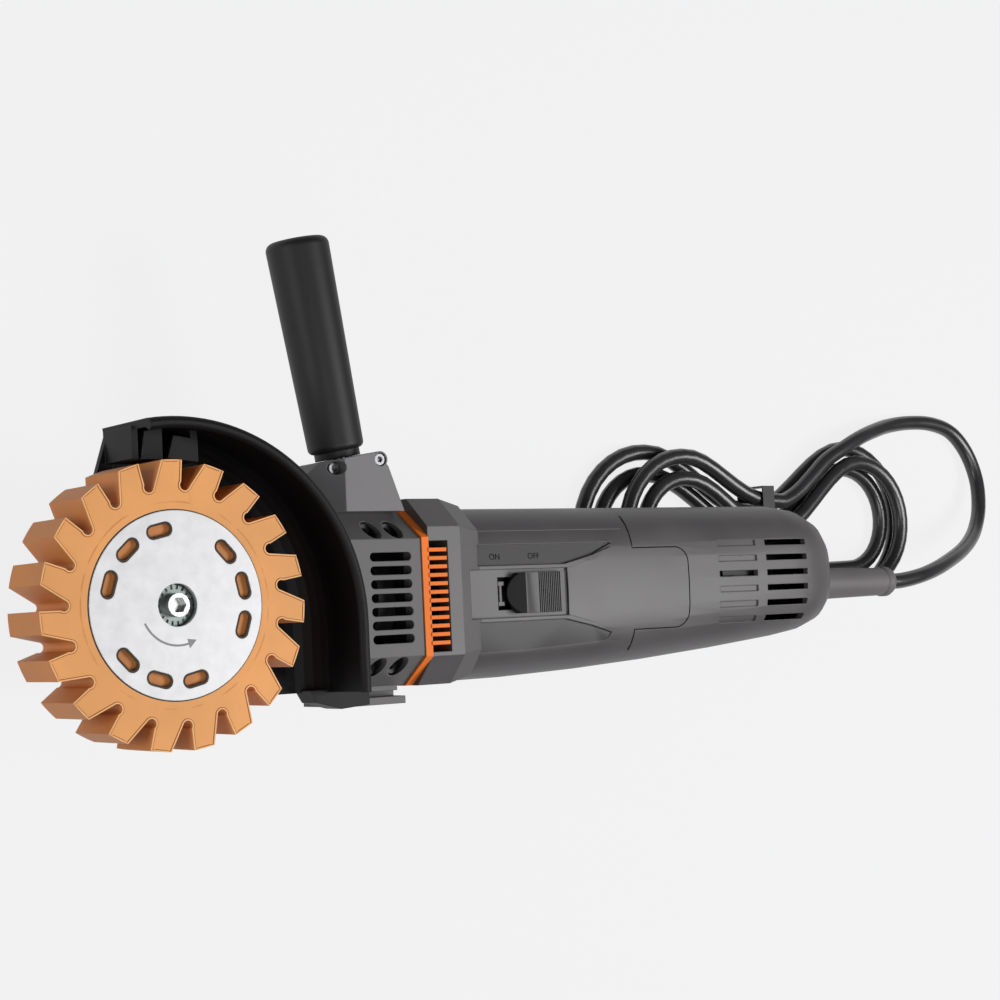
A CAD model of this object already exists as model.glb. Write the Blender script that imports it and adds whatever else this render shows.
"""Looks of the corded eraser-wheel tool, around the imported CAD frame.

The scene is in metres. Sizes and places in the tables below are in mm, and places are given from the
wheel's axis, with X along the motor, Y towards the side handle and Z out of the wheel's face.
"""

import math

import bmesh
import bpy
from mathutils import Matrix, Vector
from mathutils.bvhtree import BVHTree


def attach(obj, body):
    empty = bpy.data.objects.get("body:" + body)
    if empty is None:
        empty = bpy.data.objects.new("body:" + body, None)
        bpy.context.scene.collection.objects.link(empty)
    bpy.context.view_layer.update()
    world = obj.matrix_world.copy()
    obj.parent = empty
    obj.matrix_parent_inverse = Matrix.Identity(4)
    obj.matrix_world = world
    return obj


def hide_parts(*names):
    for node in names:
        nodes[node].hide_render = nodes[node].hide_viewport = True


MM = 0.001
UP = Vector((0, 0, 1))
WHEEL_AXIS = Vector((-80, 0, 0))

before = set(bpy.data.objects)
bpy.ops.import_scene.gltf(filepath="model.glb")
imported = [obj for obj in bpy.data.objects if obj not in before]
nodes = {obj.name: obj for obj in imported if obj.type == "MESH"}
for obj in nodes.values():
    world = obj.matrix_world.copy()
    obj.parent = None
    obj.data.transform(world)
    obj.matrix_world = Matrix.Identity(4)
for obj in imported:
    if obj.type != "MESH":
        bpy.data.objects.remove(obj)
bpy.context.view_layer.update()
scene = bpy.context.scene
scene.view_settings.view_transform = "Standard"


def in_scene(x, y, z):
    """The place in the scene of a point given in mm from the wheel's axis."""
    return (Vector((x, y, z)) + WHEEL_AXIS) * MM


def add_object(name, data):
    obj = bpy.data.objects.new(name, data)
    scene.collection.objects.link(obj)
    return obj


# Camera: the photograph's, fitted to the wheel, the hood and the housing's edges

CAMERA_AT = (-407.2 * MM, -8.8 * MM, 773.3 * MM)
CAMERA_RIGHT = Vector((0.80971, -0.04691, 0.58495))
CAMERA_DOWN = Vector((-0.00450, -0.99727, -0.07374))
CAMERA_LENS = 72.0
CAMERA_SENSOR = 36.0
CAMERA_CLIP = (0.01, 100.0)


def add_camera():
    right = CAMERA_RIGHT.normalized()
    back = right.cross(-CAMERA_DOWN).normalized()
    up = back.cross(right)
    data = bpy.data.cameras.new("camera")
    data.lens = CAMERA_LENS
    data.sensor_width = CAMERA_SENSOR
    data.clip_start, data.clip_end = CAMERA_CLIP
    camera = add_object("camera", data)
    turn = Matrix((right, up, back)).transposed().to_4x4()
    camera.matrix_world = Matrix.Translation(CAMERA_AT) @ turn
    scene.camera = camera


# Steps that materials are made of

PATCH_DETAIL = 5.0
GRAIN_DETAIL = 2.0
GRAIN_STRENGTH = 0.35
TINT_RANGE = (0.3, 0.7)
CORNER_SAMPLES = 4
WORN_CORNER = (0.99, 0.85)


def new_material(name):
    made = bpy.data.materials.new(name)
    made.use_nodes = True
    return made, made.node_tree.nodes["Principled BSDF"]


def add_node(made, kind):
    return made.node_tree.nodes.new("ShaderNode" + kind)


def join(made, source, target):
    made.node_tree.links.new(source, target)


def compute(made, kind, operation, values, output="Value"):
    """The result of a Math or VectorMath node; each value is a socket or a constant."""
    node = add_node(made, kind)
    node.operation = operation
    for target, value in zip(node.inputs, values):
        if isinstance(value, bpy.types.NodeSocket):
            join(made, value, target)
        else:
            target.default_value = value
    return node.outputs[output]


def object_place(made):
    """The point's place on the tool, which does not move with the camera."""
    return add_node(made, "TexCoord").outputs["Object"]


def add_noise(made, place, scale, detail, stretch=(1, 1, 1)):
    mapping = add_node(made, "Mapping")
    mapping.inputs["Scale"].default_value = stretch
    join(made, place, mapping.inputs["Vector"])
    noise = add_node(made, "TexNoise")
    noise.inputs["Scale"].default_value = scale
    noise.inputs["Detail"].default_value = detail
    join(made, mapping.outputs["Vector"], noise.inputs["Vector"])
    return noise.outputs["Fac"]


def multiply_where(made, mask, colour):
    """Multiplies a material's colour by another where the mask is 1."""
    target = made.node_tree.nodes["Principled BSDF"].inputs["Base Color"]
    plain = target.links[0].from_socket
    mixed = add_node(made, "Mix")
    mixed.data_type = "RGBA"
    mixed.blend_type = "MULTIPLY"
    join(made, mask, mixed.inputs["Factor"])
    join(made, plain, mixed.inputs["A"])
    mixed.inputs["B"].default_value = (*colour, 1)
    join(made, mixed.outputs["Result"], target)


def mask_between(made, value, start, end):
    """A mask that goes from 0 at start to 1 at end."""
    step = add_node(made, "MapRange")
    step.inputs["From Min"].default_value = start
    step.inputs["From Max"].default_value = end
    join(made, value, step.inputs["Value"])
    return step.outputs["Result"]


def near_level(made, value, level, fade):
    """A mask that is 1 where the value is near the level, and 0 far from it; fade says near and far."""
    near, far = fade
    off = compute(made, "Math", "SUBTRACT", (value, level))
    return mask_between(made, compute(made, "Math", "ABSOLUTE", (off,)), far, near)


def both(made, first, second):
    """A mask where two masks hold."""
    return compute(made, "Math", "MULTIPLY", (first, second))


def place_along(made, direction):
    """How far a point lies along a direction, in metres from the frame's origin."""
    return compute(made, "VectorMath", "DOT_PRODUCT", (object_place(made), direction))


def distance_from_axle(made):
    """Distance from the wheel's axis, in metres."""
    flat = compute(made, "VectorMath", "MULTIPLY", (object_place(made), (1, 1, 0)), "Vector")
    return compute(made, "VectorMath", "DISTANCE", (flat, WHEEL_AXIS * MM))


def lean_along(made, axis):
    """How far a face leans along an axis, from -1 to 1."""
    split = add_node(made, "SeparateXYZ")
    join(made, add_node(made, "NewGeometry").outputs["True Normal"], split.inputs["Vector"])
    return split.outputs[axis]


def round_off(made, bump, radius, wear):
    """Rounds a surface's sharp corners in its shading, and lightens them where wear is over 1."""
    rounded = add_node(made, "Bevel")
    rounded.samples = CORNER_SAMPLES
    rounded.inputs["Radius"].default_value = radius
    join(made, rounded.outputs["Normal"], bump.inputs["Normal"])
    if wear > 1:
        plain = add_node(made, "NewGeometry").outputs["Normal"]
        meeting = compute(made, "VectorMath", "DOT_PRODUCT", (rounded.outputs["Normal"], plain))
        multiply_where(made, mask_between(made, meeting, *WORN_CORNER), (wear,) * 3)


def surface(
    name,
    colour,
    variation,
    patch_scale,
    roughness,
    grain_scale,
    grain_depth,
    metallic=0.0,
    stretch=(1, 1, 1),
    specular=0.4,
    edge=0.0,
    wear=1.0,
):
    """A material with patchy colour, uneven roughness, a fine grain and, with an edge, rounded corners."""
    made, shader = new_material(name)
    place = object_place(made)
    patch = add_noise(made, place, patch_scale, PATCH_DETAIL, stretch)
    tint = add_node(made, "ValToRGB")
    ends = zip(tint.color_ramp.elements, TINT_RANGE, (1 - variation, 1 + variation))
    for element, position, factor in ends:
        element.position = position
        element.color = (*(min(1.0, c * factor) for c in colour), 1)
    join(made, patch, tint.inputs["Fac"])
    join(made, tint.outputs["Color"], shader.inputs["Base Color"])
    rough = add_node(made, "MapRange")
    rough.inputs["To Min"].default_value = roughness[0]
    rough.inputs["To Max"].default_value = roughness[1]
    join(made, patch, rough.inputs["Value"])
    join(made, rough.outputs["Result"], shader.inputs["Roughness"])
    grain = add_noise(made, place, grain_scale, GRAIN_DETAIL, stretch)
    bump = add_node(made, "Bump")
    bump.inputs["Strength"].default_value = GRAIN_STRENGTH
    bump.inputs["Distance"].default_value = grain_depth
    join(made, grain, bump.inputs["Height"])
    if edge > 0:
        round_off(made, bump, edge, wear)
    join(made, bump.outputs["Normal"], shader.inputs["Normal"])
    shader.inputs["Metallic"].default_value = metallic
    shader.inputs["Specular IOR Level"].default_value = specular
    return made


# The materials, and the nodes that wear them

SURFACES = {
    "wheel_rubber": dict(
        colour=(0.72, 0.325, 0.105), variation=0.09, patch_scale=30, roughness=(0.45, 0.6),
        grain_scale=900, grain_depth=0.12 * MM, specular=0.25, edge=0.5 * MM,
    ),
    "plate_steel": dict(
        colour=(0.56, 0.56, 0.57), variation=0.1, patch_scale=170, roughness=(0.42, 0.54),
        grain_scale=3000, grain_depth=0.02 * MM, metallic=0.3, edge=0.4 * MM,
    ),
    "bright_steel": dict(
        colour=(0.55, 0.56, 0.58), variation=0.08, patch_scale=80, roughness=(0.25, 0.38),
        grain_scale=3000, grain_depth=0.02 * MM, metallic=1.0, edge=0.3 * MM,
    ),
    "screw_steel": dict(
        colour=(0.2, 0.2, 0.21), variation=0.12, patch_scale=80, roughness=(0.3, 0.45),
        grain_scale=2600, grain_depth=0.03 * MM, metallic=0.9, edge=0.3 * MM,
    ),
    "clamp_steel": dict(
        colour=(0.42, 0.43, 0.42), variation=0.12, patch_scale=120, roughness=(0.28, 0.42),
        grain_scale=2600, grain_depth=0.03 * MM, metallic=0.9, edge=0.3 * MM,
    ),
    "dark_steel": dict(
        colour=(0.03, 0.03, 0.032), variation=0.15, patch_scale=80, roughness=(0.4, 0.55),
        grain_scale=2600, grain_depth=0.03 * MM, metallic=0.6, edge=0.3 * MM,
    ),
    "gear_steel": dict(
        colour=(0.3, 0.31, 0.33), variation=0.1, patch_scale=80, roughness=(0.3, 0.45),
        grain_scale=2500, grain_depth=0.03 * MM, metallic=1.0, edge=0.3 * MM,
    ),
    "washer_steel": dict(
        colour=(0.16, 0.185, 0.175), variation=0.2, patch_scale=90, roughness=(0.35, 0.5),
        grain_scale=2500, grain_depth=0.04 * MM, metallic=0.9, edge=0.3 * MM,
    ),
    "cast_metal": dict(
        colour=(0.014, 0.014, 0.015), variation=0.15, patch_scale=30, roughness=(0.5, 0.65),
        grain_scale=1500, grain_depth=0.08 * MM, edge=1 * MM, wear=1.8,
    ),
    "hood_black": dict(
        colour=(0.0045, 0.004, 0.0045), variation=0.2, patch_scale=25, roughness=(0.48, 0.58),
        grain_scale=1800, grain_depth=0.04 * MM, specular=0.2, edge=0.6 * MM, wear=8,
    ),
    "head_plastic": dict(
        colour=(0.12, 0.115, 0.118), variation=0.08, patch_scale=30, roughness=(0.5, 0.62),
        grain_scale=2400, grain_depth=0.05 * MM, edge=0.7 * MM, wear=1.5,
    ),
    "bracket_plastic": dict(
        colour=(0.16, 0.154, 0.16), variation=0.1, patch_scale=30, roughness=(0.45, 0.58),
        grain_scale=2400, grain_depth=0.05 * MM, edge=0.7 * MM, wear=1.8,
    ),
    "grip_plastic": dict(
        colour=(0.008, 0.008, 0.0085), variation=0.1, patch_scale=30, roughness=(0.45, 0.55),
        grain_scale=2400, grain_depth=0.05 * MM, specular=0.35, edge=0.5 * MM,
    ),
    "housing_plastic": dict(
        colour=(0.074, 0.0685, 0.072), variation=0.13, patch_scale=34, roughness=(0.42, 0.54),
        grain_scale=2400, grain_depth=0.06 * MM, specular=0.55, edge=0.6 * MM, wear=1.5,
    ),
    "relief_rubber": dict(
        colour=(0.13, 0.12, 0.125), variation=0.08, patch_scale=40, roughness=(0.5, 0.62),
        grain_scale=2000, grain_depth=0.06 * MM, edge=0.4 * MM,
    ),
    "slider_plastic": dict(
        colour=(0.066, 0.062, 0.066), variation=0.08, patch_scale=40, roughness=(0.4, 0.5),
        grain_scale=2600, grain_depth=0.04 * MM, edge=0.3 * MM,
    ),
    "ring_orange": dict(
        colour=(0.88, 0.2, 0.025), variation=0.06, patch_scale=40, roughness=(0.45, 0.55),
        grain_scale=2600, grain_depth=0.03 * MM, specular=0.15, edge=0.4 * MM,
    ),
    "inner_plastic": dict(
        colour=(0.01, 0.01, 0.011), variation=0.1, patch_scale=40, roughness=(0.5, 0.6),
        grain_scale=2400, grain_depth=0.04 * MM,
    ),
    "seam_shadow": dict(
        colour=(0.012, 0.011, 0.012), variation=0.1, patch_scale=40, roughness=(0.7, 0.8),
        grain_scale=2400, grain_depth=0.02 * MM, specular=0.1,
    ),
    "wheel_flash": dict(
        colour=(0.8, 0.42, 0.17), variation=0.1, patch_scale=60, roughness=(0.4, 0.5),
        grain_scale=1200, grain_depth=0.04 * MM, specular=0.25,
    ),
    "wheel_crease": dict(
        colour=(0.3, 0.11, 0.03), variation=0.2, patch_scale=90, roughness=(0.6, 0.7),
        grain_scale=1200, grain_depth=0.03 * MM, specular=0.15,
    ),
    "plate_shade": dict(
        colour=(0.06, 0.045, 0.035), variation=0.15, patch_scale=60, roughness=(0.6, 0.7),
        grain_scale=1200, grain_depth=0.02 * MM, specular=0.1,
    ),
    "plate_mark": dict(
        colour=(0.2, 0.2, 0.21), variation=0.1, patch_scale=90, roughness=(0.5, 0.6),
        grain_scale=2400, grain_depth=0.01 * MM, metallic=0.3,
    ),
    "parting_edge": dict(
        colour=(0.17, 0.16, 0.165), variation=0.15, patch_scale=60, roughness=(0.45, 0.55),
        grain_scale=2400, grain_depth=0.03 * MM, specular=0.5,
    ),
    "dark_print": dict(
        colour=(0.003, 0.003, 0.003), variation=0.1, patch_scale=200, roughness=(0.6, 0.7),
        grain_scale=2400, grain_depth=0.01 * MM, specular=0.1,
    ),
    "iron_stack": dict(
        colour=(0.2, 0.2, 0.21), variation=0.15, patch_scale=60, roughness=(0.4, 0.55),
        grain_scale=3000, grain_depth=0.06 * MM, metallic=0.9, stretch=(18, 1, 1),
    ),
    "copper_wire": dict(
        colour=(0.5, 0.2, 0.07), variation=0.2, patch_scale=120, roughness=(0.3, 0.45),
        grain_scale=2200, grain_depth=0.1 * MM, metallic=0.9, stretch=(1, 3, 3),
    ),
    "brass": dict(
        colour=(0.6, 0.42, 0.14), variation=0.1, patch_scale=80, roughness=(0.25, 0.4),
        grain_scale=2600, grain_depth=0.03 * MM, metallic=1.0,
    ),
    "carbon": dict(
        colour=(0.012, 0.012, 0.012), variation=0.2, patch_scale=60, roughness=(0.6, 0.75),
        grain_scale=2600, grain_depth=0.06 * MM,
    ),
    "cord_rubber": dict(
        colour=(0.024, 0.023, 0.025), variation=0.2, patch_scale=60, roughness=(0.24, 0.36),
        grain_scale=1600, grain_depth=0.04 * MM, specular=0.65,
    ),
    "tie_plastic": dict(
        colour=(0.012, 0.012, 0.012), variation=0.1, patch_scale=60, roughness=(0.4, 0.5),
        grain_scale=2400, grain_depth=0.03 * MM,
    ),
}
LOOKS = {name: surface(name, **settings) for name, settings in SURFACES.items()}

NODE_LOOKS = {
    "wheel_rubber": ["eraser_wheel"],
    "plate_steel": ["front_plate", "rear_plate"],
    "bright_steel": [
        "wheel_bush", "spindle", "gear_circlip", "handle_stud", "armature_shaft",
        "hood_screws", "spindle_bearing_front", "spindle_bearing_rear",
        "pinion_bearing_front", "pinion_bearing_rear", "motor_bearing_front", "motor_bearing_rear",
        "brush_springs", "coupling_sleeve",
    ],
    "clamp_steel": ["clamp_screw"],
    "screw_steel": ["bracket_screws"],
    "dark_steel": ["cover_screws"],
    "gear_steel": ["crown_gear", "bevel_pinion"],
    "washer_steel": ["serrated_washer"],
    "cast_metal": ["gear_case", "bearing_sleeve", "bearing_plate"],
    "hood_black": ["guard_hood"],
    "head_plastic": ["gear_cover", "guard_foot_rail"],
    "bracket_plastic": ["handle_bracket"],
    "grip_plastic": ["handle_grip"],
    "housing_plastic": ["motor_housing", "rear_cap"],
    "relief_rubber": ["strain_relief"],
    "slider_plastic": ["switch_slider", "switch_rod"],
    "ring_orange": ["flange_ring"],
    "inner_plastic": [
        "cooling_fan", "rear_bearing_bridge", "switch_block", "terminal_block", "cord_clamp",
    ],
    "iron_stack": ["stator_core", "armature_core"],
    "copper_wire": ["field_coils", "armature_windings", "commutator"],
    "brass": ["brush_holders", "plug_blades"],
    "carbon": ["carbon_brushes"],
    "cord_rubber": ["cord_free", "cord_hank", "cord_tail", "plug"],
    "tie_plastic": ["cord_tie"],
}

SLIDER_FRONT_LEAN = (-0.35, -0.45)
SLIDER_FRONT_TINT = (0.08, 0.08, 0.08)

TOOTH_SIDE_LEAN = (0.9, 0.5)
TOOTH_SIDE_TINT = (0.86, 0.74, 0.7)
UNDER_PLATE_R = (34.2, 33.6)
UNDER_PLATE_TINT = (0.72, 0.6, 0.52)
SCUFF_R = 37.2
SCUFF_FADE = (0.1, 0.45)
SCUFF_PATCH_SCALE = 140
SCUFF_PATCH_DETAIL = 3.0
SCUFF_BREAKS = (0.42, 0.58)
SCUFF_TINT = (0.8, 0.66, 0.5)

# Each panel beside the switch starts at this y and z, and falls by this much per mm on its side
PANEL_TOP_Y = 10.9
PANEL_TOP_Z = 81.6
PANEL_FALLS = {1: 0.1304, -1: 0.1818}
PANEL_FADE = (0.1, 0.2)
PANEL_LEAN_OVER = (0.08, 0.11)
PANEL_LEAN_UNDER = (0.26, 0.22)
PANEL_END_X = (242.0, 241.0)
PANEL_TINT = (0.3, 0.28, 0.29)


def finish_slider(made):
    """The slider's round front, towards the wheel, is black."""
    front = mask_between(made, lean_along(made, "X"), *SLIDER_FRONT_LEAN)
    multiply_where(made, front, SLIDER_FRONT_TINT)


def finish_rubber(made):
    """The wheel's rubber is browner on the teeth's sides and under the plate, with a scuff ring."""
    sides = mask_between(made, lean_along(made, "Z"), *TOOTH_SIDE_LEAN)
    multiply_where(made, sides, TOOTH_SIDE_TINT)
    under_plate = mask_between(made, distance_from_axle(made), *(r * MM for r in UNDER_PLATE_R))
    multiply_where(made, under_plate, UNDER_PLATE_TINT)
    ring = near_level(made, distance_from_axle(made), SCUFF_R * MM, [f * MM for f in SCUFF_FADE])
    patch = add_noise(made, object_place(made), SCUFF_PATCH_SCALE, SCUFF_PATCH_DETAIL)
    worn = mask_between(made, patch, *SCUFF_BREAKS)
    multiply_where(made, both(made, ring, worn), SCUFF_TINT)


def finish_housing(made):
    """The panels let into the housing's face, beside the switch, have a darker finish."""
    ends = [(x + WHEEL_AXIS.x) * MM for x in PANEL_END_X]
    on_barrel = mask_between(made, place_along(made, (1, 0, 0)), *ends)
    for side, fall in PANEL_FALLS.items():
        height = place_along(made, (0, side * fall, 1))
        level = PANEL_TOP_Z + fall * PANEL_TOP_Y
        on_panel = near_level(made, height, level * MM, [f * MM for f in PANEL_FADE])
        lean = lean_along(made, "Y")
        over = mask_between(made, lean, *(side * limit for limit in PANEL_LEAN_OVER))
        under = mask_between(made, lean, *(side * limit for limit in PANEL_LEAN_UNDER))
        panel = both(made, both(made, on_panel, both(made, over, under)), on_barrel)
        multiply_where(made, panel, PANEL_TINT)


finish_slider(LOOKS["slider_plastic"])
finish_rubber(LOOKS["wheel_rubber"])
finish_housing(LOOKS["housing_plastic"])

SMOOTH_BELOW = math.radians(32)
SHELL_WELD = 0.002
MOULDED_SHELLS = [
    "motor_housing", "rear_cap", "gear_cover", "flange_ring", "handle_bracket", "switch_slider",
]


def smooth_shell(obj):
    """Shades the facets of a moulded shell as one curved face, up to its real corners."""
    obj.data.attributes.remove(obj.data.attributes["custom_normal"])
    weld = obj.modifiers.new("weld", "WELD")
    weld.merge_threshold = SHELL_WELD * MM
    split = obj.modifiers.new("split", "EDGE_SPLIT")
    split.split_angle = SMOOTH_BELOW
    split.use_edge_sharp = False
    obj.modifiers.new("even", "WEIGHTED_NORMAL")


def paint(obj, look):
    obj.data.materials.clear()
    obj.data.materials.append(LOOKS[look])


def dress_nodes():
    for name in MOULDED_SHELLS:
        smooth_shell(nodes[name])
    for look, names in NODE_LOOKS.items():
        for name in names:
            paint(nodes[name], look)
            nodes[name].data.shade_smooth()
            nodes[name].data.set_sharp_from_angle(angle=SMOOTH_BELOW)


# Lead: one curve from the strain relief to the plug, along the CAD's route

CORD_D = 8.0
CORD_R = CORD_D / 2
CORD_ROUNDNESS = 5
MOTOR_AXIS_H = 51.0
HOUSING_BACK_Z = 19.0
HOUSING_GAP = 0.4
RELIEF_END_X = 442.5
RELIEF_Y = -1.0
EXIT_RUN = 10.0
HANK_LOW_Z = CORD_R + 1.0
HANK_LAYER = HOUSING_BACK_Z - HOUSING_GAP - CORD_R - HANK_LOW_Z
JOIN_Z = HANK_LOW_Z + HANK_LAYER
CORD_ROUTE = [
    (RELIEF_END_X, RELIEF_Y, MOTOR_AXIS_H), (RELIEF_END_X + EXIT_RUN, RELIEF_Y, MOTOR_AXIS_H),
    (469, 1.2, 49.6), (486.5, 4.8, 45.8), (504.5, 9.4, 39.8), (521, 14, 33.2), (536.5, 19.6, 26),
    (550.5, 27.2, 18.8), (562, 39.2, 12.2), (566.8, 55, 7.6), (562.6, 71, 5), (551, 82.6, 4.4),
    (535, 87.2, 4.4), (517, 87.6, 4.4), (499, 85.5, 5.8), (483, 82, 9.5), (467.5, 77.5, 13),
    (453, 71.5, JOIN_Z), (440, 65, JOIN_Z), (429, 56.6, JOIN_Z), (418.5, 48.8, JOIN_Z),
]
TAIL_ROUTE = [
    (277, 8, 5.4), (271.5, -1.5, 6.2), (263.5, -9, 7.2), (254, -13, 7.8), (248, -14, 8), (240, -14, 8),
]
ROUTE_STEPS = 6
FOLD_R = 24.0
HANK_STEP = 11.2
HANK_TURNS = 3.25
HANK_TURN_BACK = 1.5
HANK_RIGHT = Vector((462, 33))
HANK_LEFT = (Vector((338, 27)), Vector((322, 27)))
HANK_DIP = 32.0
HANK_START_UP = 5.0
HANK_STEPS = 72
EIGHTH = 1 / 8


def smooth(t):
    t = min(1.0, max(0.0, t))
    return t * t * (3 - 2 * t)


def hank_run(s, r, left, side, dip):
    """A point on a straight run of the hank, a share s of the way from its right fold to its left."""
    drop = dip * math.sin(math.pi * s) ** 2
    return HANK_RIGHT.lerp(left, s) + Vector((0, side * r - drop))


def hank_point(u):
    """The hank's centreline after u turns, as in the CAD source: half a run, fold, run, fold, half a run."""
    down = smooth((u - HANK_TURN_BACK + EIGHTH) / (2 * EIGHTH))
    r = FOLD_R + HANK_STEP * abs(u - HANK_TURN_BACK)
    dip = HANK_DIP - HANK_START_UP * (1 - smooth(u / EIGHTH))
    left = HANK_LEFT[0].lerp(HANK_LEFT[1], down)
    f = u - math.floor(u)
    if f < EIGHTH:
        xy = hank_run(0.5 + 4 * f, r, left, 1, dip)
    elif f < 3 * EIGHTH:
        a = 4 * math.pi * (f - EIGHTH)
        xy = left + r * Vector((-math.sin(a), math.cos(a)))
    elif f < 5 * EIGHTH:
        xy = hank_run(1 - 4 * (f - 3 * EIGHTH), r, left, -1, 0)
    elif f < 7 * EIGHTH:
        a = 4 * math.pi * (f - 5 * EIGHTH)
        xy = HANK_RIGHT + r * Vector((math.sin(a), -math.cos(a)))
    else:
        xy = hank_run(4 * (f - 7 * EIGHTH), r, left, 1, dip)
    return Vector((xy.x, xy.y, HANK_LOW_Z + HANK_LAYER * (1 - down)))


def through(points):
    """A smooth line through the points."""
    points = [Vector(p) for p in points]
    line = [points[0]]
    for i in range(len(points) - 1):
        a, b = points[i], points[i + 1]
        before = points[max(i - 1, 0)]
        after = points[min(i + 2, len(points) - 1)]
        start, end = (b - before) / 2, (after - a) / 2
        for k in range(1, ROUTE_STEPS + 1):
            t = k / ROUTE_STEPS
            line.append(
                a * (2 * t**3 - 3 * t**2 + 1) + start * (t**3 - 2 * t**2 + t)
                + b * (3 * t**2 - 2 * t**3) + end * (t**3 - t**2)
            )
    return line


def lead_line():
    """The lead's centreline in the scene, from its exit to its plug."""
    start, end = hank_point(0), hank_point(HANK_TURNS)
    free = through(CORD_ROUTE + [start + Vector((CORD_D, 0, 0)), start])
    count = int(HANK_STEPS * HANK_TURNS)
    hank = [hank_point(i / HANK_STEPS) for i in range(1, count + 1)]
    tail_start = end - Vector((0, CORD_D, 0))
    tail = through([end, tail_start, tail_start - Vector((0, CORD_R, 0))] + TAIL_ROUTE)
    return [in_scene(*p) for p in free + hank + tail[1:]]


def add_lead():
    line = lead_line()
    data = bpy.data.curves.new("lead", "CURVE")
    data.dimensions = "3D"
    data.bevel_depth = CORD_R * MM
    data.bevel_resolution = CORD_ROUNDNESS
    data.use_fill_caps = True
    spline = data.splines.new("POLY")
    spline.points.add(len(line) - 1)
    for point, place in zip(spline.points, line):
        point.co = (*place, 1)
    spline.use_smooth = True
    lead = add_object("lead", data)
    paint(lead, "cord_rubber")
    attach(lead, "tool")
    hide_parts("cord_free", "cord_hank", "cord_tail")


# Thin pieces that lie on the CAD nodes

PROUD = 0.05
INLAY = 0.2
ABOVE_Z = 150.0
BESIDE_JOINT = 0.3
BESIDE_LINE = 0.02


def face_of(*names):
    """The named nodes as one shape, to find heights on it."""
    corners, faces = [], []
    for name in names:
        obj = nodes[name]
        first = len(corners)
        corners += [obj.matrix_world @ v.co for v in obj.data.vertices]
        faces += [[first + i for i in f.vertices] for f in obj.data.polygons]
    return BVHTree.FromPolygons(corners, faces)


def on_face(shape, x, y, beside):
    """The place on the shape's face at x, y and its normal, from the highest of four points beside it."""
    start = in_scene(x, y, ABOVE_Z)
    moves = [Vector((dx, dy, 0)) * MM for dx in (-beside, beside) for dy in (-beside, beside)]
    found = [shape.ray_cast(start + move, -UP)[:2] for move in moves]
    place, normal = max((f for f in found if f[0]), key=lambda f: f[0].z)
    return Vector((start.x, start.y, place.z)), normal


def piece(name, parts, look, body):
    """One piece made of some parts, each a list of corners and a list of faces."""
    corners, faces = [], []
    for more_corners, more_faces in parts:
        first = len(corners)
        corners += more_corners
        faces += [[first + i for i in f] for f in more_faces]
    mesh = bpy.data.meshes.new(name)
    mesh.from_pydata(corners, [], faces)
    mesh.update()
    obj = add_object(name, mesh)
    paint(obj, look)
    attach(obj, body)


def bar(places, normals, width, depth, proud=PROUD):
    """Corners and faces of a thin bar along the places, let into the surface and a little proud of it."""
    corners, faces = [], []
    for i, place in enumerate(places):
        run = places[min(i + 1, len(places) - 1)] - places[max(i - 1, 0)]
        side = run.cross(normals[i]).normalized() * (width * MM) / 2
        top = place + normals[i] * (proud * MM)
        low = place - normals[i] * (depth * MM)
        corners += [top + side, top - side, low - side, low + side]
    for i in range(len(places) - 1):
        a, b = 4 * i, 4 * i + 4
        faces += [(a + k, a + (k + 1) % 4, b + (k + 1) % 4, b + k) for k in range(4)]
    last = 4 * (len(places) - 1)
    faces += [(3, 2, 1, 0), (last, last + 1, last + 2, last + 3)]
    return corners, faces


def face_bar(shape, line, width, beside):
    """A thin bar along a line of x, y points on the shape's face."""
    found = [on_face(shape, x, y, beside) for x, y in line]
    return bar([place for place, _ in found], [normal for _, normal in found], width, INLAY)


def prism(outline, low, high):
    """Corners and faces of an upright block; its outline turns from +X to +Y."""
    count = len(outline)
    corners = [in_scene(x, y, z) for z in (low, high) for x, y in outline]
    sides = [(k, (k + 1) % count, (k + 1) % count + count, k + count) for k in range(count)]
    return corners, [tuple(range(count))[::-1], tuple(range(count, 2 * count))] + sides


# Details on the housing and inside the hood

SEAM_X = 247.0
SEAM_REACH = (-29.0, 33.0)
SEAM_W = 0.55
SEAM_STEPS = 8
TONGUE_X = 279.0
TONGUE_HALF = 18.3
TONGUE_CORNER = 7.0
TONGUE_STEPS = 10
CORNER_STEPS = 6
PARTING_X = (158.0, 243.0)
PARTING_Y = 27.0
PARTING_W = 0.3
PARTING_STEPS = 24
PRINT_H = 2.6
PRINT_PLACES = {"ON": (168.5, 14.6), "OFF": (189.0, 14.6)}
FONT_SIZE_TO_H = 1.4
CATCH_X = (172.4, 175.6)
CATCH_BRIDGE_X = (173.0, 174.2)
CATCH_Z = (79.0, 81.2)
CATCH_HALF = 5.2
CATCH_ARM = 1.8
HOOD_BLOCKS = [
    [(-5.2, 53.9), (3.6, 53.9), (3.6, 65.3), (-3.4, 64.2)],
    [(5.8, 54.4), (18.1, 53.0), (18.1, 61.4), (8.4, 62.8)],
]
HOOD_BLOCK_Z = (85.0, 108.7)


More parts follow.
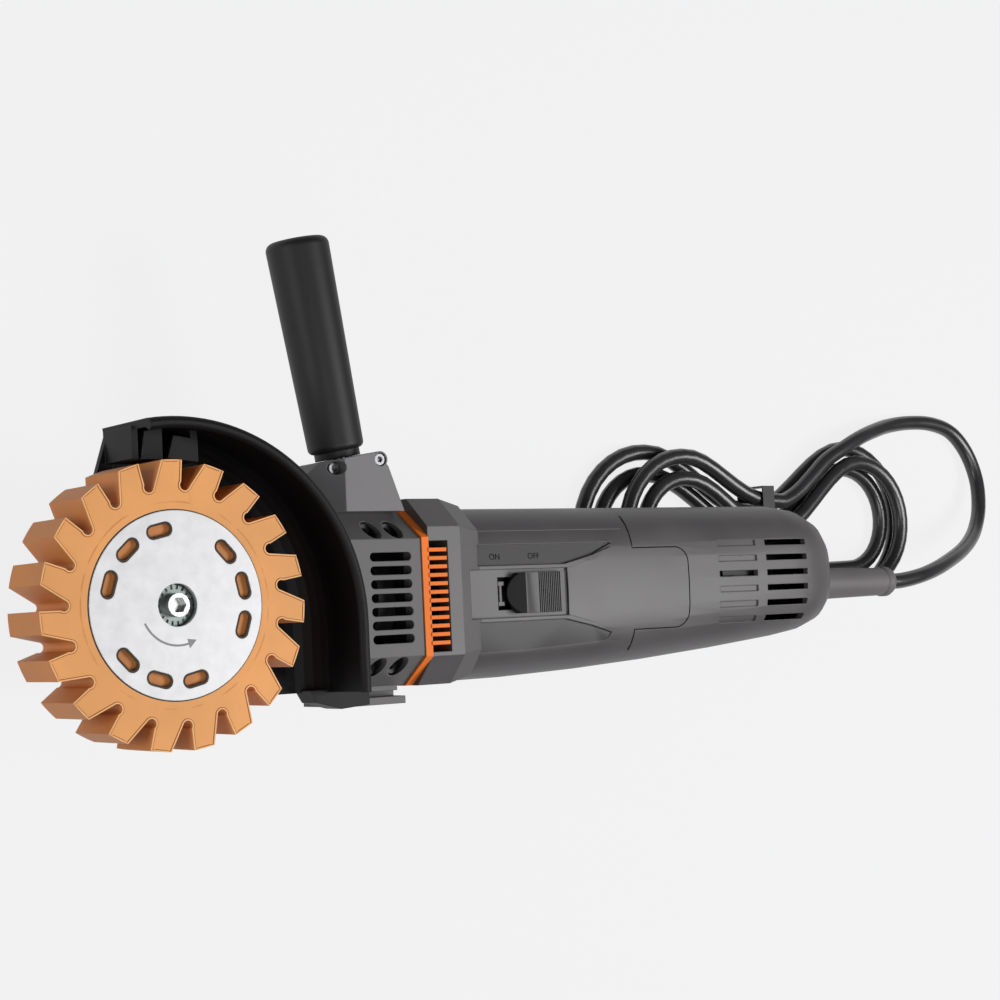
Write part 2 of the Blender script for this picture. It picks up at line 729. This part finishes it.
def seam_line():
    """The cap's joint on the face: across, then round the tongue, then across again."""
    r = TONGUE_CORNER
    low, high = SEAM_REACH
    line = [(SEAM_X, high - k * (high - TONGUE_HALF) / SEAM_STEPS) for k in range(SEAM_STEPS + 1)]
    run = TONGUE_X - r - SEAM_X
    line += [(SEAM_X + k * run / TONGUE_STEPS, TONGUE_HALF) for k in range(1, TONGUE_STEPS + 1)]
    for k in range(1, CORNER_STEPS + 1):
        a = math.radians(90 - 90 / CORNER_STEPS * k)
        line.append((TONGUE_X - r + r * math.cos(a), TONGUE_HALF - r + r * math.sin(a)))
    line += [(TONGUE_X, (TONGUE_HALF - r) * (1 - k / SEAM_STEPS)) for k in range(1, SEAM_STEPS + 1)]
    below = [(x, -y) for x, y in reversed(line[:-1]) if -y >= low]
    return line + below


def add_seam():
    shape = face_of("motor_housing", "rear_cap")
    piece("cap_seam", [face_bar(shape, seam_line(), SEAM_W, BESIDE_JOINT)], "seam_shadow", "tool")


def add_parting_line():
    """The moulding's parting line along the barrel's upper shoulder."""
    start, end = PARTING_X
    places = [start + (end - start) * k / PARTING_STEPS for k in range(PARTING_STEPS + 1)]
    line = [(x, PARTING_Y) for x in places]
    found = face_bar(face_of("motor_housing"), line, PARTING_W, BESIDE_LINE)
    piece("parting_line", [found], "parting_edge", "tool")


def add_print():
    """The switch's ON and OFF marks, lying on the panel beside it."""
    shape = face_of("motor_housing")
    for word, (x, y) in PRINT_PLACES.items():
        data = bpy.data.curves.new("print_" + word, "FONT")
        data.body = word
        data.size = PRINT_H * FONT_SIZE_TO_H * MM
        data.extrude = PROUD * MM
        text = add_object("text_" + word, data)
        bpy.context.view_layer.update()
        seen = text.evaluated_get(bpy.context.evaluated_depsgraph_get())
        mesh = bpy.data.meshes.new_from_object(seen)
        bpy.data.objects.remove(text)
        place, normal = on_face(shape, x, y + PRINT_H / 2, BESIDE_JOINT)
        turn = UP.rotation_difference(normal).to_matrix().to_4x4()
        centred = Matrix.Translation((0, -PRINT_H / 2 * MM, 0))
        mesh.transform(Matrix.Translation(place) @ turn @ centred)
        mark = add_object("mark_" + word.lower(), mesh)
        paint(mark, "dark_print")
        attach(mark, "tool")


def add_catch():
    """A small bracket at the front of the switch's slot: two arms and a bridge between them."""
    inner = CATCH_HALF - CATCH_ARM
    blocks = [
        (CATCH_X, (inner, CATCH_HALF)),
        (CATCH_X, (-CATCH_HALF, -inner)),
        (CATCH_BRIDGE_X, (-inner, inner)),
    ]
    parts = []
    for (x0, x1), (y0, y1) in blocks:
        parts.append(prism([(x0, y0), (x1, y0), (x1, y1), (x0, y1)], *CATCH_Z))
    piece("switch_catch", parts, "housing_plastic", "tool")


def add_hood_blocks():
    """The blocks beside the ribs inside the hood's open end."""
    parts = [prism(outline, *HOOD_BLOCK_Z) for outline in HOOD_BLOCKS]
    piece("hood_blocks", parts, "hood_black", "tool")


# Details on the wheel's face

FACE_Z = 123.0
PLATE_TOP_Z = 123.5
PLATE_R = 34.15
FACE_WELD = 0.01
FACE_BAND = 0.05
FACE_LEAN = 0.99
FLASH_W = 0.5
FLASH_DEPTH = 0.3
FLASH_PROUD = 0.25
CREASE_W = 0.3
CREASE_PROUD = 0.04
RIM_W = 0.8
RIM_DEPTH = 0.5
RIM_SUNK = 0.05
HUB_R = 12.0
JOINT_OUT = 0.2
JOINT_W = 0.5
JOINT_STEPS = 96
ARROW_R = 14.5
ARROW_ARC = (205, 285)
ARROW_W = 0.8
ARROW_STEPS = 24
ARROW_TIP = 14
ARROW_HEAD_HALF = 1.8
ARROW_HEAD_T = 0.25


def turned_area(line):
    return sum(p.x * q.y - q.x * p.y for p, q in zip(line, line[1:] + line[:1])) / 2


def face_loops(name, z):
    """The edge loops of a node's face at this height, each turning from +X to +Y, the largest first."""
    bm = bmesh.new()
    bm.from_mesh(nodes[name].data)
    bm.transform(nodes[name].matrix_world)
    bmesh.ops.remove_doubles(bm, verts=bm.verts, dist=FACE_WELD * MM)
    flat = [f for f in bm.faces if f.normal.z > FACE_LEAN]
    front = {f for f in flat if abs(f.calc_center_median().z - z * MM) < FACE_BAND * MM}
    rim = [e for e in bm.edges if sum(f in front for f in e.link_faces) == 1]
    beside = {}
    for e in rim:
        for v in e.verts:
            beside.setdefault(v, []).append(e.other_vert(v))
    loops, used = [], set()
    for start in beside:
        place, loop = start, []
        while place and place not in used:
            used.add(place)
            loop.append(place)
            place = next((v for v in beside[place] if v not in used), None)
        if loop:
            line = [v.co.copy() for v in loop]
            loops.append(line if turned_area(line) > 0 else line[::-1])
    bm.free()
    return sorted(loops, key=turned_area, reverse=True)


def bar_inside(line, offset, width, depth, proud):
    """A closed bar along a loop on the wheel's face, with its outer edge set in by the offset."""
    inward = []
    for i, place in enumerate(line):
        run = (line[(i + 1) % len(line)] - line[i - 1]).normalized()
        inward.append(place + UP.cross(run) * ((offset + width / 2) * MM))
    inward.append(inward[0])
    return bar(inward, [UP] * len(inward), width, depth, proud)


def add_flash():
    """The raised moulding line along the teeth, and the crease beside it."""
    line = face_loops("eraser_wheel", FACE_Z)[0]
    flash = bar_inside(line, 0, FLASH_W, FLASH_DEPTH, FLASH_PROUD)
    crease = bar_inside(line, FLASH_W, CREASE_W, INLAY, CREASE_PROUD)
    piece("wheel_flash", [flash], "wheel_flash", "wheel")
    piece("wheel_crease", [crease], "wheel_crease", "wheel")


def add_window_rims():
    """The dark edge inside each window of the front plate."""
    middle = WHEEL_AXIS * MM
    windows = [
        line for line in face_loops("front_plate", PLATE_TOP_Z)[1:]
        if (sum(line, Vector()) / len(line) - middle).xy.length > HUB_R * MM
    ]
    bars = [bar_inside(line, 0, RIM_W, RIM_DEPTH, -RIM_SUNK) for line in windows]
    piece("window_rims", bars, "plate_shade", "wheel")


def arc(radius, start, end, z, steps):
    """Places in the scene along an arc about the wheel's axis, from start to end in degrees."""
    turns = [math.radians(start + (end - start) * k / steps) for k in range(steps + 1)]
    return [in_scene(radius * math.cos(a), radius * math.sin(a), z) for a in turns]


def add_plate_marks():
    """The dark joint round the plate, and an arrow for the way it turns."""
    ring = arc(PLATE_R + JOINT_OUT, 0, 360, FACE_Z, JOINT_STEPS)
    piece("plate_joint", [bar(ring, [UP] * len(ring), JOINT_W, INLAY)], "plate_shade", "wheel")
    shaft = arc(ARROW_R, *ARROW_ARC, PLATE_TOP_Z, ARROW_STEPS)
    piece("turn_arrow", [bar(shaft, [UP] * len(shaft), ARROW_W, INLAY)], "plate_mark", "wheel")
    end = ARROW_ARC[1]
    tip = arc(ARROW_R, end, end + ARROW_TIP, PLATE_TOP_Z, 1)[1]
    half = ARROW_HEAD_HALF
    wide = [arc(ARROW_R + d, end, end, PLATE_TOP_Z, 1)[0] for d in (-half, half)]
    top = [place + UP * PROUD * MM for place in wide + [tip]]
    low = [place - UP * ARROW_HEAD_T * MM for place in top]
    sides = [(k, k + 3, (k + 1) % 3 + 3, (k + 1) % 3) for k in range(3)]
    head = (top + low, [(0, 1, 2), (5, 4, 3)] + sides)
    piece("turn_arrow_head", [head], "plate_mark", "wheel")


# Stage, in metres

BACKGROUND = (0.93, 0.93, 0.94)
BACKGROUND_SHARE = 0.9
FLOOR_HALF = 30.0
FLOOR_AT = (0.17, 0, -0.0005)
FLOOR_COLOUR = (0.5, 0.5, 0.51)
FLOOR_ROUGHNESS = 0.9
WORLD_STRENGTH = 0.08
LAMPS_TARGET = (0.1, 0.0, 0.06)
LAMPS = {
    "key": dict(place=(0.85, -0.12, 1.15), size=0.7, power=14),
    "front": dict(place=(-0.35, -0.35, 1.3), size=0.7, power=5.6),
    "left": dict(place=(-1.1, 0.05, 0.5), size=0.6, power=4.2),
}


def floor_material():
    """A pale floor that keeps the tool's shadow, and shows the background's colour to the eye."""
    made, shader = new_material("floor")
    shader.inputs["Base Color"].default_value = (*FLOOR_COLOUR, 1)
    shader.inputs["Roughness"].default_value = FLOOR_ROUGHNESS
    glow = add_node(made, "Emission")
    glow.inputs["Color"].default_value = (*BACKGROUND, 1)
    rays = add_node(made, "LightPath").outputs
    seen = compute(made, "Math", "MAXIMUM", (rays["Is Camera Ray"], rays["Is Glossy Ray"]))
    seen = compute(made, "Math", "MAXIMUM", (seen, rays["Is Transmission Ray"]))
    mixed = add_node(made, "MixShader")
    join(made, compute(made, "Math", "MULTIPLY", (seen, BACKGROUND_SHARE)), mixed.inputs["Fac"])
    join(made, shader.outputs["BSDF"], mixed.inputs[1])
    join(made, glow.outputs["Emission"], mixed.inputs[2])
    join(made, mixed.outputs["Shader"], made.node_tree.nodes["Material Output"].inputs["Surface"])
    return made


def add_floor():
    mesh = bpy.data.meshes.new("floor")
    bm = bmesh.new()
    bmesh.ops.create_grid(bm, x_segments=1, y_segments=1, size=FLOOR_HALF)
    bm.to_mesh(mesh)
    bm.free()
    mesh.materials.append(floor_material())
    floor = add_object("floor", mesh)
    floor.location = FLOOR_AT


def add_lamp(name, place, size, power):
    data = bpy.data.lights.new(name, "AREA")
    data.shape = "DISK"
    data.size = size
    data.energy = power
    lamp = add_object(name, data)
    lamp.location = place
    lamp.rotation_mode = "QUATERNION"
    lamp.rotation_quaternion = (Vector(LAMPS_TARGET) - Vector(place)).to_track_quat("-Z", "Y")


def add_light():
    world = bpy.data.worlds.new("world")
    scene.world = world
    world.use_nodes = True
    background = world.node_tree.nodes["Background"]
    background.inputs["Color"].default_value = (1, 1, 1, 1)
    background.inputs["Strength"].default_value = WORLD_STRENGTH
    for name, settings in LAMPS.items():
        add_lamp(name, **settings)


add_camera()
add_lead()
dress_nodes()
add_seam()
add_parting_line()
add_print()
add_catch()
add_hood_blocks()
add_flash()
add_window_rims()
add_plate_marks()
add_floor()
add_light()
